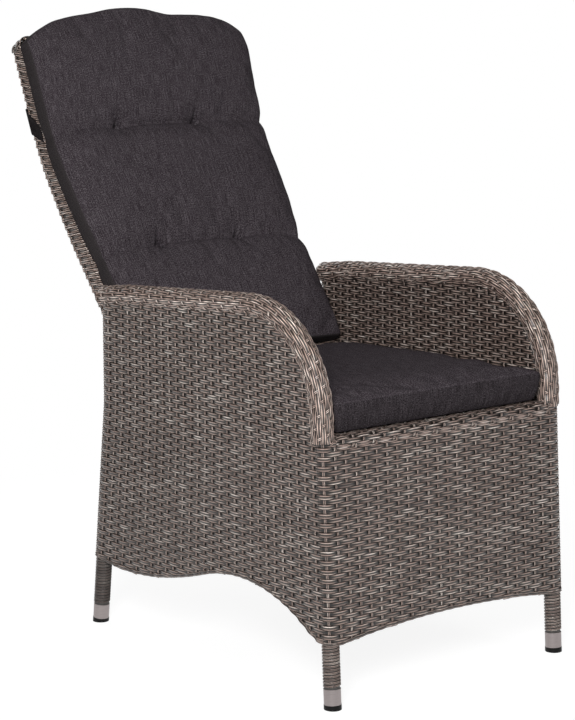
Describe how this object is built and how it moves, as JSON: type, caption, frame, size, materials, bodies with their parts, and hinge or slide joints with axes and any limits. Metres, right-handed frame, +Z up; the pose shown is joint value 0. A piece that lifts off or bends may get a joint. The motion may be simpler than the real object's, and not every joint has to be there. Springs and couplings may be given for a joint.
{
  "type": "reclining armchair",
  "caption": "Wicker armchair with closed woven arms, a high back that tilts on a lockable gas spring, a box seat cushion and a long tufted back cushion.",
  "frame": {"origin": "middle of the base: halfway across, halfway between the foremost and the rearmost point, on the floor", "axes": "the chair faces -Y, +Z is up, +X is to the left of a person sitting in it"},
  "size_m": [0.5384, 0.9639, 1.0844],
  "materials": {
    "weave": "matte extruded strips, streaked grey",
    "frame": "satin powder coat",
    "sleeve": "brushed",
    "cap": "moulded matte",
    "cushion_cloth": "plain weave with slubs",
    "strap_cloth": "elastic webbing",
    "cylinder": "satin black",
    "rod": "ground and plated",
    "bush": "moulded natural nylon",
    "grip": "moulded matte",
    "steel": "zinc plated"
  },
  "bodies": {
    "base": {"arm_roll_left": "weave", "arm_roll_right": "weave", "arm_tube_left": "frame", "arm_tube_right": "frame", "foot_cap_front_left": "cap", "foot_cap_front_right": "cap", "foot_cap_rear_left": "cap", "foot_cap_rear_right": "cap", "foot_sleeve_front_left": "sleeve", "foot_sleeve_front_right": "sleeve", "foot_sleeve_rear_left": "sleeve", "foot_sleeve_rear_right": "sleeve", "front_apron": "weave", "front_edge_roll": "weave", "leg_wrap_front_left": "weave", "leg_wrap_front_right": "weave", "leg_wrap_rear_left": "weave", "leg_wrap_rear_right": "weave", "pivot_pin_left": "steel", "pivot_pin_right": "steel", "pivot_plate_left": "frame", "pivot_plate_right": "frame", "pivot_washer_left": "steel", "pivot_washer_right": "steel", "rear_apron": "weave", "rear_leg_tube_left": "frame", "rear_leg_tube_right": "frame", "seat_bar_deck_rear": "frame", "seat_bar_middle": "frame", "seat_bar_spring": "frame", "seat_cushion": "cushion_cloth", "seat_deck": "weave", "seat_rail_front": "frame", "seat_rail_rear": "frame", "seat_rail_side_left": "frame", "seat_rail_side_right": "frame", "shaft_bearing_inner": "frame", "shaft_bearing_outer": "frame", "side_weave_left": "weave", "side_weave_right": "weave", "spring_lugs": "frame"},
    "backrest": {"back_hoop": "frame", "back_bar_low": "frame", "back_bar_high": "frame", "back_weave": "weave", "back_torque_tube": "frame", "pivot_bush_left": "bush", "pivot_bush_right": "bush", "lever_cheeks": "frame", "lever_pin": "steel", "back_cushion": "cushion_cloth", "back_strap": "strap_cloth"},
    "spring_rod_body": {"release_head": "steel", "spring_rod": "rod"},
    "spring_cylinder_body": {"spring_cylinder": "cylinder", "spring_eye": "steel"},
    "release_lever_body": {"release_shaft": "steel", "release_grip": "grip", "release_finger": "steel"},
    "release_pin_body": {"release_pin": "steel"}
  },
  "joints": [
    {"name": "recline", "type": "hinge", "parent": "base", "child": "backrest", "pos_m": [0, 0.08667, 0.434], "axis": [-1, 0, 0], "range_deg": [-16, 14]},
    {"name": "spring_swing", "type": "hinge", "parent": "base", "child": "spring_rod_body", "pos_m": [0, -0.23233, 0.374], "axis": [-1, 0, 0], "range_deg": [-0.7, 0.7]},
    {"name": "spring_stroke", "type": "slide", "parent": "spring_rod_body", "child": "spring_cylinder_body", "axis": [0, 0.9999, -0.0135], "range_m": [-0.017, 0.019]},
    {"name": "release_lever", "type": "hinge", "parent": "base", "child": "release_lever_body", "pos_m": [0, -0.26733, 0.362], "axis": [-1, 0, 0], "range_deg": [0, 12], "stiffness_Nm_per_rad": 1, "springref_deg": -5.73},
    {"name": "release_pin_slide", "type": "slide", "parent": "spring_rod_body", "child": "release_pin_body", "axis": [0, 0.9999, -0.0135], "range_m": [0, 0.003]}
  ],
  "couplings": [
    {"joint": "spring_swing", "follows": "recline", "ratio": 0.0337},
    {"joint": "spring_stroke", "follows": "recline", "m_per_rad": -0.06443},
    {"joint": "release_pin_slide", "follows": "release_lever", "m_per_rad": 0.0132}
  ]
}
